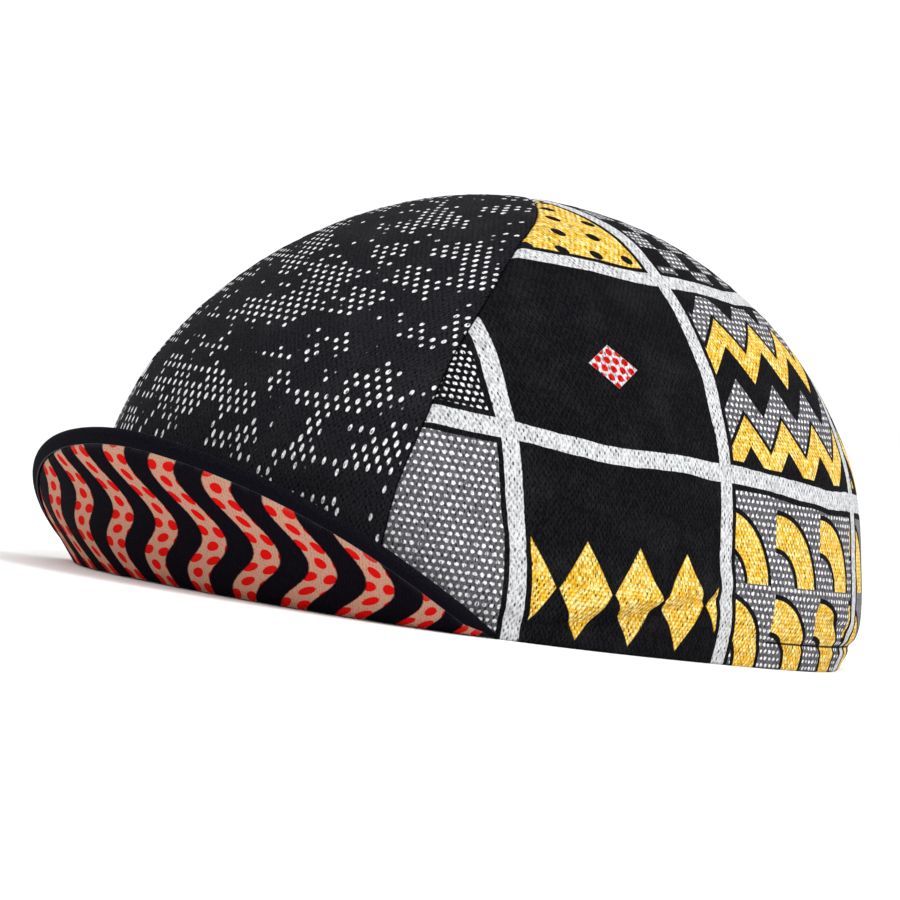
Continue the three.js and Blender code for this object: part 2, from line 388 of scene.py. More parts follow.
def arc_table(angles, rise, depth):
    """The length along the section at a rise, from the first angle to each of the angles."""
    points = plain_crown_point(angles, rise, depth)
    return np.concatenate([[0], np.cumsum(np.linalg.norm(np.diff(points, axis=0), axis=-1))])


def meridian_lengths(angle, rises):
    """The length over the cloth from the rim to each rise, at one angle."""
    fine = np.linspace(0, 1, FINE_STEPS)
    points = plain_crown_point(angle, fine, 0)
    lengths = np.concatenate([[0], np.cumsum(np.linalg.norm(np.diff(points, axis=0), axis=-1))])
    return np.interp(rises, fine, lengths)


# Distances from a seam at which the crown's panels have a column, close together where they dip into it
SEAM_COLUMNS = np.array([0, 0.16, 0.36, 0.6, 0.9, 1.3, 1.8, 2.4, 3.2, 4.2]) * MM
COLUMNS_PER_DEGREE = 1.25
PANEL_STEPS = 241
FIRST_ROW = 0.4 * MM
HEM_ROW_STEP = 0.5 * MM
HEM_ROWS_END = 16 * MM
CROWN_ROW_STEP = 1.15 * MM
TOP_RISE = 0.9975
FOLD_STEPS = 8
SEAM_SINK = 0.85 * MM
SEAM_WIDTH = 0.75 * MM
SEAM_HALF_GAP = 0.03 * MM
PUCKER_WAVE = 0.3 * MM
PUCKER_REACH = 4.5 * MM
TOP_FADE = 0.05
BACK_MARK_START = HEM_START - 2


def panel_rows():
    """Rises of the crown's rows from the top to where the rim's fold begins, closer together at the hem."""
    fine = np.linspace(0, 1, FINE_STEPS)
    lengths = meridian_lengths(90, fine)
    low = np.arange(FIRST_ROW, HEM_ROWS_END, HEM_ROW_STEP)
    high = np.arange(HEM_ROWS_END, lengths[-1] * TOP_RISE, CROWN_ROW_STEP)
    rises = np.interp(np.concatenate([low, high]), lengths, fine)
    return np.append(rises, TOP_RISE)[::-1]


def panel_columns(rises, middle, start_of, end_of):
    """For each row, its columns' angles, distances from the nearer seam and places across from the middle.

    They lie at fixed distances from the seams, and evenly between those.
    """
    middle_count = int((end_of(0.0) - start_of(0.0)) * COLUMNS_PER_DEGREE)
    angles, from_seam, across = np.empty((3, len(rises), 2 * len(SEAM_COLUMNS) + middle_count))
    for j, rise in enumerate(rises):
        span = np.linspace(start_of(rise), end_of(rise), PANEL_STEPS)
        table = arc_table(span, rise, 0)
        total = table[-1]
        shrink = min(1.0, total / (4 * SEAM_COLUMNS[-1]))
        near = (SEAM_COLUMNS + SEAM_HALF_GAP) * shrink
        between = np.linspace(near[-1], total - near[-1], middle_count + 2)[1:-1]
        place = np.concatenate([near, between, (total - near)[::-1]])
        angles[j] = np.interp(place, table, span)
        from_seam[j] = np.minimum(place, total - place)
        across[j] = place - np.interp(middle, span, table)
    return angles, from_seam, across


def seam_pucker(length):
    """How the seam's stitches gather the cloth along it, from 0 to 1."""
    mm = length / MM
    return 0.5 + 0.3 * np.sin(mm * 1.15 + 0.8 * np.sin(mm * 0.31)) + 0.2 * np.sin(mm * 2.3 + 1.7)


def seam_sink(up, rises, from_seam):
    """How far a panel sinks into its seams and waves beside them, except at the very top."""
    pucker = seam_pucker(up)[:, None]
    sink = SEAM_SINK * (0.7 + 0.3 * pucker) * np.exp(-((from_seam / SEAM_WIDTH) ** 1.2))
    wave = PUCKER_WAVE * (pucker - 0.5) * np.exp(-from_seam / PUCKER_REACH)
    return sink + wave * np.clip((1 - rises) / TOP_FADE, 0, 1)[:, None]


def panel_faces(columns, rows, printed_rows):
    """Quads round a panel and across its two seams, and the material of each: print, or the reverse."""
    faces = grid_faces(columns - 1, rows)
    face_materials = [0 if j < printed_rows else 1 for _ in range(columns - 1) for j in range(rows)]
    for column, flip in ((0, False), (columns - 1, True)):
        for j in range(rows // 2 - 1):
            ring = [column * rows + k for k in (j, j + 1, rows - 2 - j, rows - 1 - j)]
            faces.append(tuple(ring[::-1] if flip else ring))
            face_materials.append(0)
    return faces, face_materials


def crown_panel(node, materials, middle, start_of, end_of):
    """One panel of the crown: a thin closed body, folded round at the rim and sunk into its seams."""
    outer_rises = panel_rows()
    fold = np.linspace(0, np.pi, FOLD_STEPS)[1:-1]
    radius = CROWN_CLOTH / 2
    fold_rises = rise_of((radius - radius * np.sin(fold)) / CROWN_HEIGHT)
    fold_depths = radius - radius * np.cos(fold)
    rises = np.concatenate([outer_rises, fold_rises, outer_rises[::-1]])
    depths = np.concatenate([0 * outer_rises, fold_depths, 0 * outer_rises + CROWN_CLOTH])
    inner = np.concatenate([0 * outer_rises, fold / np.pi, 0 * outer_rises + 1])
    angles, from_seam, across = panel_columns(rises, middle, start_of, end_of)
    up = meridian_lengths(middle, rises)
    sink = seam_sink(up, rises, from_seam) * (1 - inner[:, None])
    points = crown_point(angles, rises[:, None], depths[:, None] + sink)
    points[..., 2] = np.maximum(points[..., 2], 0)
    x, y, _ = np.moveaxis(points - RIM_MIDDLE, -1, 0)
    from_front = np.degrees(np.arctan2(np.abs(x) / RIM_SIDE, -y / RIM_FRONT))
    attributes = [
        ("seam", from_seam.T.ravel() / MM),
        ("height", points[..., 2].T.ravel() / MM),
        ("back", from_front.T.ravel() > BACK_MARK_START),
    ]
    printed_rows = len(outer_rises) + len(fold) // 2 - 1
    faces, face_materials = panel_faces(angles.shape[1], len(rises), printed_rows)
    coordinates = np.stack([across / MM, np.broadcast_to(up[:, None] / MM, across.shape)], -1)
    points, coordinates = (np.swapaxes(a, 0, 1).reshape(-1, a.shape[-1]) for a in (points, coordinates))
    add_piece(node + "_cloth", points, faces, node, materials, coordinates, face_materials, attributes)


LINING_DEPTH = CROWN_CLOTH + LAYER_GAP
LINING_RISE = 0.1
LINING_STEPS = 2401
LINING_COLUMN = 1.6 * MM
BAND_CAP_STEPS = 7


def band_profile(bottom, top, thickness, step):
    """Heights and depths round the section of a band: up its hidden face and down the one that shows."""
    radius = thickness / 2
    heights = np.arange(bottom + radius, top - radius + step / 2, step)
    cap = np.linspace(0, np.pi, BAND_CAP_STEPS)[1:-1]
    middle = LINING_DEPTH + radius
    high = heights[-1]
    profile = [(h, LINING_DEPTH) for h in heights]
    profile += [(high + radius * np.sin(a), middle - radius * np.cos(a)) for a in cap]
    profile += [(h, LINING_DEPTH + thickness) for h in heights[::-1]]
    profile += [(bottom + radius - radius * np.sin(a), middle + radius * np.cos(a)) for a in cap]
    return np.array(profile)


def lining_band(node, material, start, end, profile):
    """A band that lines the crown from one angle to another, closed at its ends."""
    span = np.linspace(start, end, LINING_STEPS)
    table = arc_table(span, LINING_RISE, CROWN_CLOTH)
    count = int(table[-1] / LINING_COLUMN)
    places = np.linspace(0, table[-1], count + 1)
    angles = np.interp(places, table, span)
    heights, depths = profile[:, 0], profile[:, 1]
    rises = rise_of(heights[None, :] / (CROWN_HEIGHT - depths[None, :]))
    points = crown_point(angles[:, None], rises, depths[None, :])
    rows = len(profile)
    across = np.broadcast_to(places[:, None], (count + 1, rows))
    up = np.broadcast_to(heights[None, :], (count + 1, rows))
    coordinates = np.stack([across, up], -1).reshape(-1, 2) / MM
    faces = loft_faces(count, rows)
    add_piece(node + "_cloth", points.reshape(-1, 3), faces, node, [material], coordinates)


PEAK_COLUMNS = 240
PEAK_TIP = 0.986
FACE_STEPS = 14
EDGE_STEPS = 13
LIP_STEPS = 5
UNDER_STEPS = 18
UNDER_CROWDING = 1.6
THINNING = 0.7
EDGE_LIP = 0.32 * MM
UNDER_PADDING = 0.15 * MM
UNDER_TUCK = 0.55 * MM
TUCK_REACH = 0.9 * MM
CREST_REACH = 0.45 * MM
SEWN_GAP = 0.05 * MM


def peak_widths(places):
    """The length along the peak from its middle, a third of the way up."""
    line = peak_point(places, np.minimum(peak_length_at(places), PEAK_LENGTH / 3), 0)
    lengths = np.concatenate([[0], np.cumsum(np.linalg.norm(np.diff(line, axis=0), axis=-1))])
    return lengths - lengths[-1] / 2


def peak_loft(node, material, outline_of):
    """A body through the peak's sections, whose thin ends settle at the rim's lower edge.

    An outline gives lengths, levels and the mark of its crest.
    """
    places = np.sin(np.linspace(-1, 1, PEAK_COLUMNS + 1) * np.pi / 2) * PEAK_TIP
    table = np.array([outline_of(peak_length_at(place)) for place in places])
    rows = table.shape[1]
    thinning = np.clip(peak_length_at(places) / (2 * EDGE_ROLL), 0, 1) ** THINNING
    table[..., 1] *= thinning[:, None]
    points = peak_point(places[:, None], table[..., 0], table[..., 1])
    settling = (1 - thinning) * PEAK_THICKNESS * np.sin(peak_lean(places))
    points[..., 2] = np.maximum(points[..., 2] - settling[:, None], 0)
    widths = np.broadcast_to(peak_widths(places)[:, None], table.shape[:2])
    coordinates = np.stack([widths, table[..., 0]], -1).reshape(-1, 2) / MM
    faces = loft_faces(PEAK_COLUMNS, rows)
    crest = [("crest", table[..., 2].ravel())]
    points = points.reshape(-1, 3)
    add_piece(node + "_cloth", points, faces, node, [material], coordinates, attributes=crest)


def peak_top_outline(length):
    """The cover: up the face at the crown, round the edge, along the turned-over band and down inside."""
    roll = min(EDGE_ROLL, length / 2)
    share = roll / EDGE_ROLL
    front = PEAK_THICKNESS + EDGE_BULGE * share
    radius = front / 2
    outline = [(s * (length - radius), 0, 0) for s in np.linspace(0, 1, FACE_STEPS)]
    for a in np.linspace(0, np.pi, EDGE_STEPS)[1:]:
        outline.append((length - radius + radius * np.sin(a), radius - radius * np.cos(a), 0))
    lip = EDGE_LIP * share
    band_end = length - roll
    for s in (0.35, 0.7):
        outline.append((length - radius + s * (band_end + lip - length + radius), front, 0))
    for a in np.linspace(0, np.pi / 2, LIP_STEPS):
        crest = 1 - abs(a / (np.pi / 4) - 1) ** 2
        outline.append((band_end + lip - lip * np.sin(a), front - lip + lip * np.cos(a), crest))
    outline.append((band_end, PEAK_TOP_CLOTH, 0))
    outline += [(s * band_end, PEAK_TOP_CLOTH, 0) for s in (0.66, 0.33, 0)]
    return outline


def peak_under_outline(length):
    """The printed underside, a little padded, tucked in at the band, where its edge is marked."""
    roll = min(EDGE_ROLL, length / 2)
    end = length - roll - SEWN_GAP
    back = PEAK_TOP_CLOTH + LAYER_GAP
    shares = 1 - (1 - np.linspace(0, 1, UNDER_STEPS)) ** UNDER_CROWDING
    outline = [(0, back, 0), (end / 2, back, 0), (end, back, 0)]
    for s in shares[::-1]:
        from_band = (1 - s) * end
        tuck = UNDER_TUCK * np.exp(-from_band / TUCK_REACH)
        outline.append((s * end, PEAK_THICKNESS + UNDER_PADDING - tuck, np.exp(-from_band / CREST_REACH)))
    return outline


INNER_FACE = LINING_DEPTH + TAPE_CLOTH
STITCH_HEIGHT = 4.6 * MM
STITCH_PITCH = 3.1 * MM
STITCH_LENGTH = 1.3 * MM
STITCH_PROUD = 0.1 * MM
STITCH_SUNK = 0.16 * MM
STITCH_RADIUS = 0.2 * MM
OVERLOCK_WIDTH = 6.5 * MM
OVERLOCK_SPAN = 12
OVERLOCK_PITCHES = (2.3 * MM, 2.3 * MM, 3.1 * MM)
OVERLOCK_STEPS = 8
OVERLOCK_LIFT = 0.26 * MM
OVERLOCK_CROSSING = 0.16 * MM
OVERLOCK_RADIUS = 0.26 * MM
THREAD_SIDES = 6
THREAD_END = 0.45
THREAD_ASIDE = (0.3, 0.2, 0.93)


def add_threads(name, material, paths, radius):
    """Round threads along paths, each a list of points, thinner at their ends."""
    points, faces = [], []
    for path in paths:
        ahead = np.gradient(path, axis=0)
        ahead /= np.linalg.norm(ahead, axis=1, keepdims=True)
        side = np.cross(ahead, THREAD_ASIDE)
        side /= np.linalg.norm(side, axis=1, keepdims=True)
        over = np.cross(ahead, side)
        faces += loft_faces(len(path) - 1, THREAD_SIDES, len(points))
        ends = np.ones(len(path))
        ends[0] = ends[-1] = THREAD_END
        for k in range(len(path)):
            for a in np.arange(THREAD_SIDES) * 2 * np.pi / THREAD_SIDES:
                points.append(path[k] + radius * ends[k] * (side[k] * np.cos(a) + over[k] * np.sin(a)))
    points = np.array(points)
    add_piece(name, points, faces, None, [material], points[:, :2] / MM)


def tape_stitches(material):
    """The dark running stitch along the tape."""
    span = np.linspace(-BAND_END + 1, BAND_END - 1, LINING_STEPS)
    table = arc_table(span, rise_of(STITCH_HEIGHT / CROWN_HEIGHT), INNER_FACE)
    share = np.linspace(0, 1, 5)
    depth = INNER_FACE + STITCH_PROUD - STITCH_SUNK * (2 * share - 1) ** 2
    rise = rise_of(STITCH_HEIGHT / (CROWN_HEIGHT - INNER_FACE))
    paths = []
    for start in np.arange(0, table[-1] - STITCH_LENGTH, STITCH_PITCH):
        angles = np.interp(start + share * STITCH_LENGTH, table, span)
        paths.append(crown_point(angles, rise, depth))
    add_threads("tape_stitches", material, paths, STITCH_RADIUS)


def overlock_ends(material):
    """The crossed overlock threads at the sweatband's two ends."""
    depth = LINING_DEPTH + SWEATBAND_CLOTH
    bottom = TAPE_HEIGHT + 0.8 * MM
    top = SWEATBAND_TOP - 0.6 * MM
    span = np.linspace(BAND_END - 0.2, BAND_END - OVERLOCK_SPAN, 101)
    table = arc_table(span, LINING_RISE, depth)
    paths = []
    for side in (-1, 1):
        for kind, pitch in enumerate(OVERLOCK_PITCHES):
            heights = np.arange(bottom, top, pitch / OVERLOCK_STEPS)
            turn = (heights / pitch + kind / 2 + 0.06 * np.sin(heights / (1.7 * MM) + kind)) % 1
            across = np.abs(2 * turn - 1) * OVERLOCK_WIDTH
            angles = side * np.interp(across, table, span)
            lift = OVERLOCK_LIFT + OVERLOCK_CROSSING * np.cos(2 * np.pi * turn + kind * np.pi)
            paths.append(crown_point(angles, rise_of(heights / (CROWN_HEIGHT - depth)), depth + lift))
    add_threads("sweatband_overlock", material, paths, OVERLOCK_RADIUS)


# Shader fields, in millimetres on the cloth


class Field:
    """A number that varies over a surface, from a shader node's output."""

    def __init__(self, tree, socket):
        self.tree = tree
        self.socket = socket

    def math(self, operation, *others, clamp=False):
        node = self.tree.nodes.new("ShaderNodeMath")
        node.operation = operation
        node.use_clamp = clamp
        for slot, value in zip(node.inputs, (self, *others)):
            if isinstance(value, Field):
                self.tree.links.new(value.socket, slot)
            else:
                slot.default_value = value
        return Field(self.tree, node.outputs[0])

    def __add__(self, other):
        return self.math("ADD", other)

    def __sub__(self, other):
        return self.math("SUBTRACT", other)

    def __mul__(self, other):
        return self.math("MULTIPLY", other)

    def __truediv__(self, other):
        return self.math("DIVIDE", other)

    def scaled(self, factor, offset):
        """This times the factor, plus the offset, kept from 0 to 1."""
        return self.math("MULTIPLY_ADD", factor, offset, clamp=True)

    def flipped(self):
        """1 minus this."""
        return self.math("MULTIPLY_ADD", -1.0, 1.0)

    def floor(self):
        return self.math("FLOOR")

    def fraction(self):
        return self.math("FRACT")

    def size(self):
        return self.math("ABSOLUTE")

    def sine(self):
        return self.math("SINE")

    def least(self, other):
        return self.math("MINIMUM", other)

    def most(self, other):
        return self.math("MAXIMUM", other)

    def below(self, edge, blur=0.14):
        """1 where this is less than the edge, with a soft step as wide as blur."""
        if isinstance(edge, Field):
            return (edge - self).scaled(1 / blur, 0.5)
        return self.scaled(-1 / blur, edge / blur + 0.5)

    def above(self, edge, blur=0.14):
        return self.below(edge, blur).flipped()

    def within(self, low, high, blur=0.14):
        return self.above(low, blur) * self.below(high, blur)


def length_of(x, y):
    return (x * x + y * y).math("SQRT")


def cloth_coordinates(tree):
    """Millimetres across and up the cloth, from the UV map."""
    uv = tree.nodes.new("ShaderNodeUVMap")
    uv.uv_map = "cloth"
    split = tree.nodes.new("ShaderNodeSeparateXYZ")
    tree.links.new(uv.outputs[0], split.inputs[0])
    return Field(tree, split.outputs[0]), Field(tree, split.outputs[1])


def attribute(tree, name):
    node = tree.nodes.new("ShaderNodeAttribute")
    node.attribute_name = name
    return Field(tree, node.outputs["Fac"])


def vector_of(tree, x, y, z):
    node = tree.nodes.new("ShaderNodeCombineXYZ")
    tree.links.new(x.socket, node.inputs[0])
    tree.links.new(y.socket, node.inputs[1])
    node.inputs[2].default_value = z
    return node.outputs[0]


def noise(tree, x, y, scale, detail, seed=0.0):
    """Smooth noise about 0.5, whose lumps are about 1 / scale wide."""
    node = tree.nodes.new("ShaderNodeTexNoise")
    node.inputs["Scale"].default_value = scale
    node.inputs["Detail"].default_value = detail
    tree.links.new(vector_of(tree, x, y, seed), node.inputs["Vector"])
    return Field(tree, node.outputs["Fac"])


def cell_noise(tree, column, row, seed=0.0):
    """A number from 0 to 1 for each cell of a lattice."""
    node = tree.nodes.new("ShaderNodeTexWhiteNoise")
    tree.links.new(vector_of(tree, column, row, seed), node.inputs["Vector"])
    return Field(tree, node.outputs["Value"])


def blend(tree, share, first, second):
    """The first colour where share is 0, the second where it is 1. A colour is a tuple or a socket."""
    node = tree.nodes.new("ShaderNodeMix")
    node.data_type = "RGBA"
    tree.links.new(share.socket, node.inputs["Factor"])
    for slot, colour in ((node.inputs[6], first), (node.inputs[7], second)):
        if isinstance(colour, tuple):
            slot.default_value = (*colour, 1)
        else:
            tree.links.new(colour, slot)
    return node.outputs[2]


def lattice(x, y, pitch, row_pitch):
    """Cells of a staggered lattice: their columns and rows, and places inside them from -0.5 to 0.5."""
    row = (y / row_pitch).floor()
    shift = (row * 0.5).fraction()
    column = (x / pitch + shift).floor()
    inside_x = (x / pitch + shift).fraction() - 0.5
    inside_y = (y / row_pitch).fraction() - 0.5
    return column, row, inside_x, inside_y


def dots(x, y, pitch, row_pitch, radius):
    """Round dots on a lattice."""
    _, _, inside_x, inside_y = lattice(x, y, pitch, row_pitch)
    return length_of(inside_x * pitch, inside_y * row_pitch).below(radius)


# Colours, in linear light
BLACK = (0.0030, 0.0027, 0.0040)
CHARCOAL = (0.0088, 0.0081, 0.0105)
SMOOTH_BLACK = (0.0030, 0.0026, 0.0050)
# The dark of the yarn's grain, also used as painted shade in the eyelets, seams and hem stitching
DARK_GRAIN_AND_PAINTED_SHADE = (0.0012, 0.0012, 0.0017)
WHITE = (0.60, 0.605, 0.615)
DOT_WHITE = (0.82, 0.82, 0.83)
# Painted sheen: the pale grey of soft lighter clouds and of the gleam on the jersey's yarn
PAINTED_SHEEN_GREY = (0.32, 0.32, 0.34)
GREY = (0.112, 0.110, 0.122)
PLAIN_GREY = (0.19, 0.19, 0.20)
YELLOW = (0.74, 0.395, 0.008)
CREAM = (0.93, 0.80, 0.34)
RED = (0.60, 0.004, 0.004)
SALMON = (0.47, 0.245, 0.165)
RUBBED_SALMON = (0.68, 0.40, 0.31)
SALMON_EDGE = (0.72, 0.56, 0.46)
BLACK_EDGE = (0.05, 0.05, 0.06)
# Fine lint on the peak's cover, and a painted highlight along its crest
LINT_AND_CREST_HIGHLIGHT = (0.16, 0.16, 0.19)
WEAVE_SHADE = (0.02, 0.012, 0.012)
REVERSE = (0.83, 0.87, 0.93)
# Painted shade in the reverse's eyelets
REVERSE_HOLE_SHADE = (0.58, 0.63, 0.71)
TERRY = (0.82, 0.88, 0.92)
TERRY_SHADE = (0.32, 0.41, 0.49)
TAPE = (0.87, 0.905, 0.95)
TAPE_SHADE = (0.62, 0.69, 0.77)
# Dark thread, also a painted shadow along the terry's lower edge
DARK_THREAD_AND_SHADE = (0.03, 0.035, 0.05)
THREAD_PALE = (0.74, 0.79, 0.92)


def new_material(name, roughness=0.8, sheen=0.25):
    material = bpy.data.materials.new(name)
    material.use_nodes = True
    shader = material.node_tree.nodes["Principled BSDF"]
    shader.inputs["Roughness"].default_value = roughness
    shader.inputs["Specular IOR Level"].default_value = 0.02
    shader.inputs["Sheen Weight"].default_value = sheen
    shader.inputs["Sheen Roughness"].default_value = 0.5
    return material, material.node_tree, shader


def finish_material(tree, shader, colour, height, distance, strength):
    """Gives the shader its colour and a bump. The distance is in metres."""
    tree.links.new(colour, shader.inputs["Base Color"])
    bump = tree.nodes.new("ShaderNodeBump")
    bump.inputs["Strength"].default_value = strength
    bump.inputs["Distance"].default_value = distance
    tree.links.new(height.socket, bump.inputs["Height"])
    tree.links.new(bump.outputs[0], shader.inputs["Normal"])


KNIT_PITCH = 1.35
KNIT_ROW = 0.92
YELLOW_ROW = 0.98


def knit(tree, x, y):
    """The jersey's eyelets, 1 in a hole and 0 on the yarn, a chance for each, and the yarn's height."""
    column, row, inside_x, inside_y = lattice(x, y, KNIT_PITCH, KNIT_ROW)
    vary = cell_noise(tree, column, row)
    aside = cell_noise(tree, column, row, seed=7.0) * 0.26 - 0.13
    hole = length_of((inside_x + aside) * 2.5, inside_y * 0.72).below(vary * 0.2 + 0.18, 0.2)
    wale = (x * (TURN * 2 / KNIT_PITCH)).sine() * 0.12
    height = hole * -0.75 + wale + vary * 0.25
    return hole, vary, height


def front_print(tree, x, y, seed):
    """White halftone dots in loose patches, drawn out where the cloth is stretched over the peak."""
    pitch, row_pitch, radius = 2.75, 2.3, 0.62
    sharpness, threshold = 11.0, 0.502
    stretch_height, stretch_blur, stretch = 52.0, 26.0, 0.3
    column, row, inside_x, inside_y = lattice(x, y, pitch, row_pitch)
    patch = noise(tree, column, row * 1.25, scale=0.25, detail=2.0, seed=seed)
    edge = patch.scaled(sharpness, -sharpness * threshold)
    vary = cell_noise(tree, column, row, seed + 3)
    kept = (vary * 0.4 + edge).above(0.36, 0.05)
    reach = (edge * 0.2 + vary * 0.16 + 0.70) * radius * kept
    drawn = y.below(stretch_height, stretch_blur) * stretch
    across = inside_x * pitch * (drawn + 1.1)
    up = inside_y * row_pitch * (drawn * -1.0 + 0.9)
    dot = length_of(across, up).below(reach, 0.2) * kept
    return blend(tree, dot, CHARCOAL, DOT_WHITE)


def halftone(tree, x, y):
    """The white in a grey of ragged white flecks."""
    pitch, row_pitch, radius = 1.8, 1.72, 0.42
    column, row, inside_x, inside_y = lattice(x, y, pitch, row_pitch)
    ragged = noise(tree, x, y, scale=1.5, detail=1.0) * 0.7 - 0.35
    reach = cell_noise(tree, column, row, seed=2.0) * 0.16 + ragged + radius
    return length_of(inside_x * pitch, inside_y * (row_pitch * 1.15)).below(reach, 0.22)


def yellow_yarn(tree, x, y):
    """Yellow with a cream gleam on each stitch."""
    column, row, inside_x, inside_y = lattice(x + 0.4, y + 0.3, KNIT_PITCH, YELLOW_ROW)
    vary = cell_noise(tree, column, row, seed=4.0)
    pale = length_of(inside_x, inside_y * 0.75).below(vary * 0.3 + 0.16, 0.24)
    return blend(tree, pale * (vary * 0.4 + 0.55), YELLOW, CREAM)


def checks(x, y, side):
    return (((x / side).floor() + (y / side).floor()) * 0.5).fraction().above(0.25)


def diamonds(x, y, width, height):
    """One row of diamonds that stand on y = 0, 1 inside them."""
    across = ((x / width).fraction() - 0.5).size() * 2
    up = (y * (2 / height) - 1.0).size()
    return (across + up).below(0.94, 0.04)


def chevrons(x, y, width, rise, period):
    """Stripes bent into a zigzag, that rise from 0 to 1 in each period."""
    bend = ((x / width).fraction() - 0.5).size() * 2 * rise
    return ((y + bend) / period).fraction()


def grid_cells(upright, level, swapped):
    """A function that gives 1 in one cell of a grid: columns count from the front, and rows from the rim."""
    columns = [line.above(0, 0.05) for line in upright]
    rows = [line.above(0, 0.05) for line in level]

    def cell(column, row):
        if swapped and row != 1 and column in (1, 2):
            column = 3 - column
        share = None
        for lines, number in ((columns, column), (rows, row)):
            parts = []
            if number > 0:
                parts.append(lines[number - 1])
            if number < len(lines):
                parts.append(lines[number].flipped())
            for part in parts:
                share = part if share is None else share * part
        return share

    return cell


# The grid of white lines on the side panels, and how far from a line's middle its white and its border reach
UPRIGHT_LINES = (-61.0, 3.0, 67.0)
LEVEL_LINES = (46.0, 99.0)
LINE_SLANT = 0.05
LINE_REACH = 2.45
BORDER_REACH = 3.85


def side_print(tree, x, y, seed, swapped=False):
    """A grid of white lines over cells of plain geometric patterns in black, grey, white and yellow."""
    drift = noise(tree, x, y, scale=0.03, detail=1.0, seed=seed) * 5.0 - 2.5
    upright = [x + y * LINE_SLANT + drift - at for at in UPRIGHT_LINES]
    level = [y + x * LINE_SLANT - drift - at for at in LEVEL_LINES]
    cell = grid_cells(upright, level, swapped)
    tone = halftone(tree, x, y)
    spots = dots(x, y, pitch=9.0, row_pitch=7.8, radius=1.6)
    check = checks(x, y, side=7.5)
    bend = chevrons(x - 3.0, y, width=16.4, rise=9.5, period=26.5)
    tall = diamonds(x + 5.0, y - 1.5, width=15.6, height=25.0)
    slant = ((x + y) / 13.0).fraction().above(0.5, 0.02)
    square, arc_start, arc_end, arc_border = 20.5, 9.3, 17.3, 1.3
    corner = length_of((x / square).fraction() * square, (y / square).fraction() * square)
    two_squares = y.below(2 * square - 0.3, 0.05)
    arcs = corner.within(arc_start, arc_end) * two_squares
    rings = corner.within(arc_start - arc_border, arc_end + arc_border) * two_squares
    accent_x, accent_y = -31.0, 70.0
    lozenge = (x - accent_x).size() * 0.8 + (y - accent_y).size()
    yellow = cell(1, 0) * tall + cell(2, 1) * bend.within(0.04, 0.34, 0.01) + cell(3, 1) * slant
    yellow = yellow + cell(1, 2) * spots.flipped() + cell(3, 0) * arcs
    grey = cell(0, 0) + cell(2, 1) * bend.within(0.40, 0.70, 0.01)
    grey = grey + cell(2, 0) * rings.flipped() + cell(2, 2) * check
    sunny = yellow_yarn(tree, x, y)
    colour = blend(tree, yellow, BLACK, sunny)
    colour = blend(tree, cell(2, 0) * arcs, colour, sunny)
    colour = blend(tree, grey, colour, GREY)
    colour = blend(tree, grey * tone, colour, DOT_WHITE)
    colour = blend(tree, cell(3, 0) * rings.flipped(), colour, PLAIN_GREY)
    colour = blend(tree, cell(0, 1) * tone * (y - accent_y).below(0, 0.1), colour, DOT_WHITE)
    accent = cell(1, 1) * lozenge.below(5.6, 0.2)
    colour = blend(tree, accent, colour, WHITE)
    colour = blend(tree, accent * dots(x, y, pitch=2.6, row_pitch=2.2, radius=0.95), colour, RED)
    nearest = upright[0].size()
    for line in upright[1:] + level:
        nearest = nearest.least(line.size())
    nearest = nearest + noise(tree, x, y, scale=0.25, detail=1.0, seed=seed + 1) * 0.5
    colour = blend(tree, nearest.below(BORDER_REACH), colour, BLACK)
    return blend(tree, nearest.below(LINE_REACH), colour, WHITE)


def jersey_material(name, print_of, seed, across=1.0, **choices):
    """Printed eyelet jersey: the yarn's grain breaks up the print, painted shade darkens its eyelets, its
    seams and the hem stitching round the back, and painted sheen lightens it in soft clouds and on the yarn.
    """
    material, tree, shader = new_material(name, sheen=0.0)
    x, y = cloth_coordinates(tree)
    hole, vary, height = knit(tree, x, y)
    colour = print_of(tree, x * across, y, seed, **choices)
    # Painted sheen: soft lighter clouds over the jersey, where light would catch it
    painted_sheen_haze = noise(tree, x, y, scale=0.09, detail=3.0, seed=seed + 5).scaled(0.07, -0.033)
    colour = blend(tree, painted_sheen_haze, colour, PAINTED_SHEEN_GREY)
    grain = noise(tree, x * 1.5, y * 0.75, scale=1.5, detail=2.0, seed=seed + 6)
    # Painted highlight: a faint pale gleam on the yarn between the eyelets
    yarn = hole.flipped() * (grain.above(0.50, 0.2) * 0.5 + vary * 0.35 + 0.15)
    colour = blend(tree, yarn * 0.02, colour, PAINTED_SHEEN_GREY)
    # The yarn's darker grain, in the same dark as the painted shade
    colour = blend(tree, grain.below(0.47, 0.2) * 0.42, colour, DARK_GRAIN_AND_PAINTED_SHADE)
    # Painted shade in the eyelets
    colour = blend(tree, hole * (vary * vary * 0.75 + 0.16), colour, DARK_GRAIN_AND_PAINTED_SHADE)
    # Painted shade in the seams' grooves and along the hem's stitched dent round the back
    seam = attribute(tree, "seam").below(0.22, 0.3)
    hem = (attribute(tree, "height") - HEM_HEIGHT / MM).size().below(0.28, 0.2)
    round_back = attribute(tree, "back").above(0.5, 0.4)
    colour = blend(tree, (seam * 0.9).most(hem * round_back * 0.9), colour, DARK_GRAIN_AND_PAINTED_SHADE)
    finish_material(tree, shader, colour, height, distance=0.00022, strength=0.9)
    return material


def reverse_material():
    """The jersey's pale reverse, with painted shade in its eyelets."""
    material, tree, shader = new_material("jersey_reverse", roughness=0.85)
    x, y = cloth_coordinates(tree)
    hole, _, height = knit(tree, x, y)
    # Painted shade in the eyelets
    colour = blend(tree, hole * 0.35, REVERSE, REVERSE_HOLE_SHADE)
    finish_material(tree, shader, colour, height, distance=0.0002, strength=0.8)
    return material


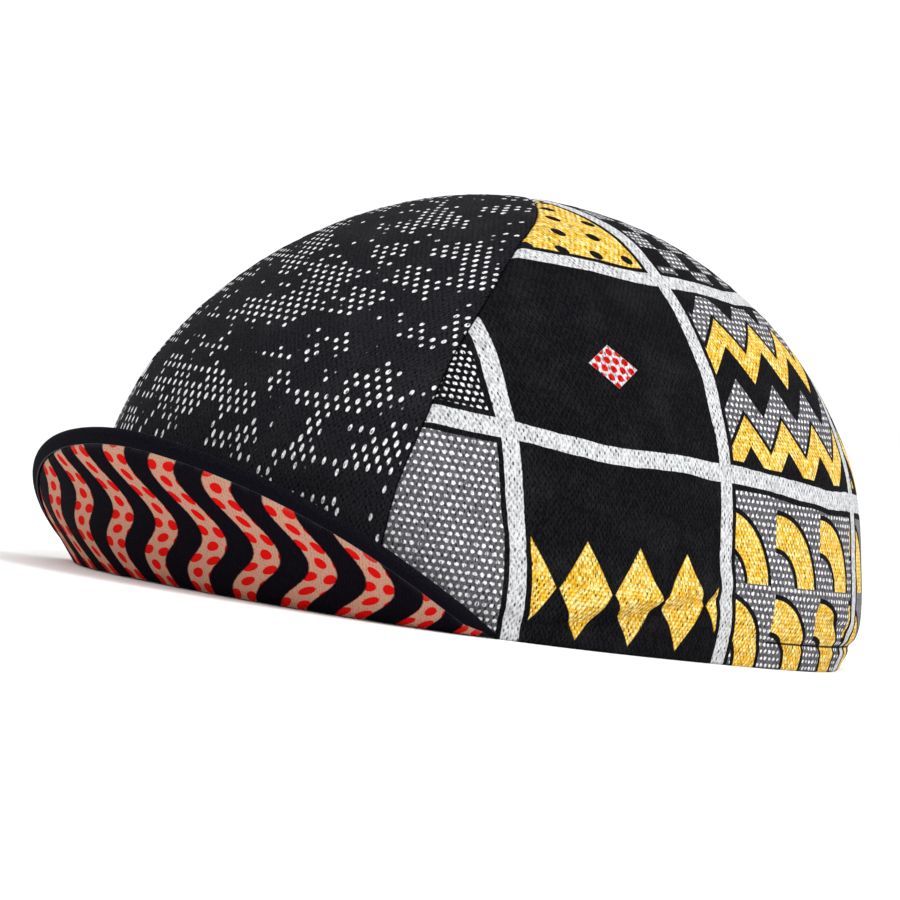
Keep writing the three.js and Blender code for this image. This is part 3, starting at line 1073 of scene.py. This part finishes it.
def cover_material():
    """The peak's plain black cover, with fine lint, paler along the crest of its turned-over edge where a
    highlight is painted.
    """
    material, tree, shader = new_material("peak_cover", sheen=0.0)
    x, y = cloth_coordinates(tree)
    fine = noise(tree, x, y, scale=2.6, detail=3.0)
    rib = (x * (TURN / 0.55)).sine() * (y * (TURN / 0.45)).sine()
    colour = blend(tree, fine.scaled(1.6, -0.72) * 0.07, SMOOTH_BLACK, LINT_AND_CREST_HIGHLIGHT)
    # Painted highlight along the crest of the turned-over edge
    colour = blend(tree, attribute(tree, "crest").above(0.55, 0.4) * 0.4, colour, LINT_AND_CREST_HIGHLIGHT)
    finish_material(tree, shader, colour, rib * 0.4 + fine, distance=0.00012, strength=0.8)
    return material


def peak_print_material():
    """Wavy bands across the peak, black and salmon in turn, with red dots on the salmon."""
    material, tree, shader = new_material("peak_print", sheen=0.0)
    x, y = cloth_coordinates(tree)
    period, swing, wave_length = 13.8, 4.6, 31.0
    salmon_start, salmon_end = 0.26, 0.74
    bend = (y * (TURN / wave_length) + x * 0.035 + 0.6).sine() * swing
    band = ((x + bend) / period + 0.5).fraction()
    ragged = band + noise(tree, x, y, scale=0.9, detail=2.0) * 0.03 - 0.015
    paler = ragged.within(salmon_start, salmon_end, 0.03)
    dot = dots(x + bend + 0.2, y + 0.8, pitch=4.6, row_pitch=4.3, radius=1.5)
    rub = noise(tree, x, y, scale=1.4, detail=4.0).scaled(1.5, -0.55)
    colour = blend(tree, rub * 0.35, SALMON, RUBBED_SALMON)
    colour = blend(tree, dot, colour, RED)
    colour = blend(tree, paler, SMOOTH_BLACK, colour)
    edge = blend(tree, paler, BLACK_EDGE, SALMON_EDGE)
    colour = blend(tree, attribute(tree, "crest") * (dot * -0.45 + 0.7), colour, edge)
    weave_x = (x * (TURN / 0.75) + y * 0.5).sine()
    weave_y = (y * (TURN / 1.1) + x * 2.0).sine()
    weave = weave_x * 0.7 + weave_y * 0.3
    thin = noise(tree, x * 2.5, y * 0.5, scale=1.0, detail=2.0, seed=4.0).above(0.46, 0.2)
    colour = blend(tree, weave.above(0.45, 0.5) * thin * 0.3, colour, WEAVE_SHADE)
    finish_material(tree, shader, colour, weave * 0.5 + rub * 0.5, distance=0.00012, strength=0.8)
    return material


def terry_material():
    """Pale blue-grey loops, tall and slanting, with a dark line along the lower edge where it is stitched to
    the tape: partly dark stitching, partly painted shadow.
    """
    material, tree, shader = new_material("terry", roughness=0.95, sheen=0.5)
    x, y = cloth_coordinates(tree)
    column, row, inside_x, inside_y = lattice(x + y * 0.45, y, pitch=0.86, row_pitch=1.25)
    vary = cell_noise(tree, column, row)
    loop = length_of(inside_x * 1.2 + (vary * 0.3 - 0.15), inside_y * 0.85).below(0.37, 0.4)
    colour = blend(tree, (loop * 0.75 + vary * 0.3).scaled(1.15, -0.12), TERRY_SHADE, TERRY)
    cloud = noise(tree, x, y, scale=0.25, detail=3.0).scaled(1.4, -0.4)
    colour = blend(tree, cloud * 0.35, colour, TERRY)
    # Partly dark stitching and partly a painted shadow along the lower edge, where it lies over the tape
    stitching_and_shade = y.below(TAPE_HEIGHT / MM + 0.35, 0.5) * ((x * (TURN / 2.2)).sine() * 0.25 + 0.55)
    colour = blend(tree, stitching_and_shade, colour, DARK_THREAD_AND_SHADE)
    finish_material(tree, shader, colour, loop + vary * 0.4, distance=0.0006, strength=1.0)
    return material


def tape_material():
    """White tape, smooth below and brushed along its upper edge."""
    material, tree, shader = new_material("tape")
    x, y = cloth_coordinates(tree)
    brushed = y.above(6.8, 0.8)
    fine = noise(tree, x, y, scale=1.6, detail=4.0)
    rib = (y * (TURN / 0.5) + x * 0.2).sine()
    thread = (x * (TURN / 0.6)).sine()
    height = fine * brushed + rib * thread * brushed.flipped() * 0.35
    dull = fine.scaled(1.8, -0.7) * brushed * 0.6
    colour = blend(tree, dull + brushed * 0.1, TAPE, TAPE_SHADE)
    finish_material(tree, shader, colour, height, distance=0.0003, strength=0.8)
    return material


def thread_material(name, colour):
    """Twisted thread, with painted shade darkening it between its turns."""
    material, tree, shader = new_material(name, roughness=0.6)
    x, y = cloth_coordinates(tree)
    twist = (x * 9.0 + y * 9.0).sine()
    # Painted shade between the thread's turns
    shaded_twist_colour = blend(tree, twist.above(0, 1.2) * 0.3, colour, tuple(c * 0.6 for c in colour))
    finish_material(tree, shader, shaded_twist_colour, twist, distance=0.00005, strength=0.6)
    return material


# The pieces

add_camera()
add_surroundings()

reverse = reverse_material()
front_cloth = jersey_material("jersey_dots", front_print, seed=2.0)
left_cloth = jersey_material("jersey_left", side_print, seed=7.0)
right_cloth = jersey_material("jersey_right", side_print, seed=9.0, across=-1.0, swapped=True)

# The crown's panels: node, slot, cloth, middle, and where they start and end at each rise
for node, slot, cloth, middle, start_of, end_of in (
    ("crown_front", "jersey_dots", front_cloth, 0.0, lambda r: -seam_angle(r), seam_angle),
    ("crown_left", "jersey_panels", left_cloth, 90.0, seam_angle, back_seam),
    ("crown_right", "jersey_panels", right_cloth, -90.0, lambda r: -back_seam(r), lambda r: -seam_angle(r)),
    ("crown_back", "jersey_dots", front_cloth, 180.0, back_seam, lambda r: 360 - back_seam(r)),
):
    crown_panel(node, [cloth, reverse], middle, start_of, end_of)

peak_loft("peak_top", cover_material(), peak_top_outline)
peak_loft("peak_underside", peak_print_material(), peak_under_outline)

BAND_LAP = 0.3 * MM
TERRY_STEP = 1.3 * MM
TAPE_STEP = 0.8 * MM
END_GAP = 0.2
terry = terry_material()
tape = tape_material()
sweatband_profile = band_profile(TAPE_HEIGHT - BAND_LAP, SWEATBAND_TOP, SWEATBAND_CLOTH, TERRY_STEP)
tape_profile = band_profile(0, TAPE_HEIGHT, TAPE_CLOTH, TAPE_STEP)
hem_profile = band_profile(0, HEM_HEIGHT, TAPE_CLOTH, TAPE_STEP)
lining_band("sweatband", terry, -BAND_END, BAND_END, sweatband_profile)
lining_band("sweatband_tape", tape, -BAND_END, BAND_END, tape_profile)
lining_band("rear_hem", tape, BAND_END + END_GAP, 360 - BAND_END - END_GAP, hem_profile)
tape_stitches(thread_material("stitch_thread", DARK_THREAD_AND_SHADE))
overlock_ends(thread_material("overlock_thread", THREAD_PALE))
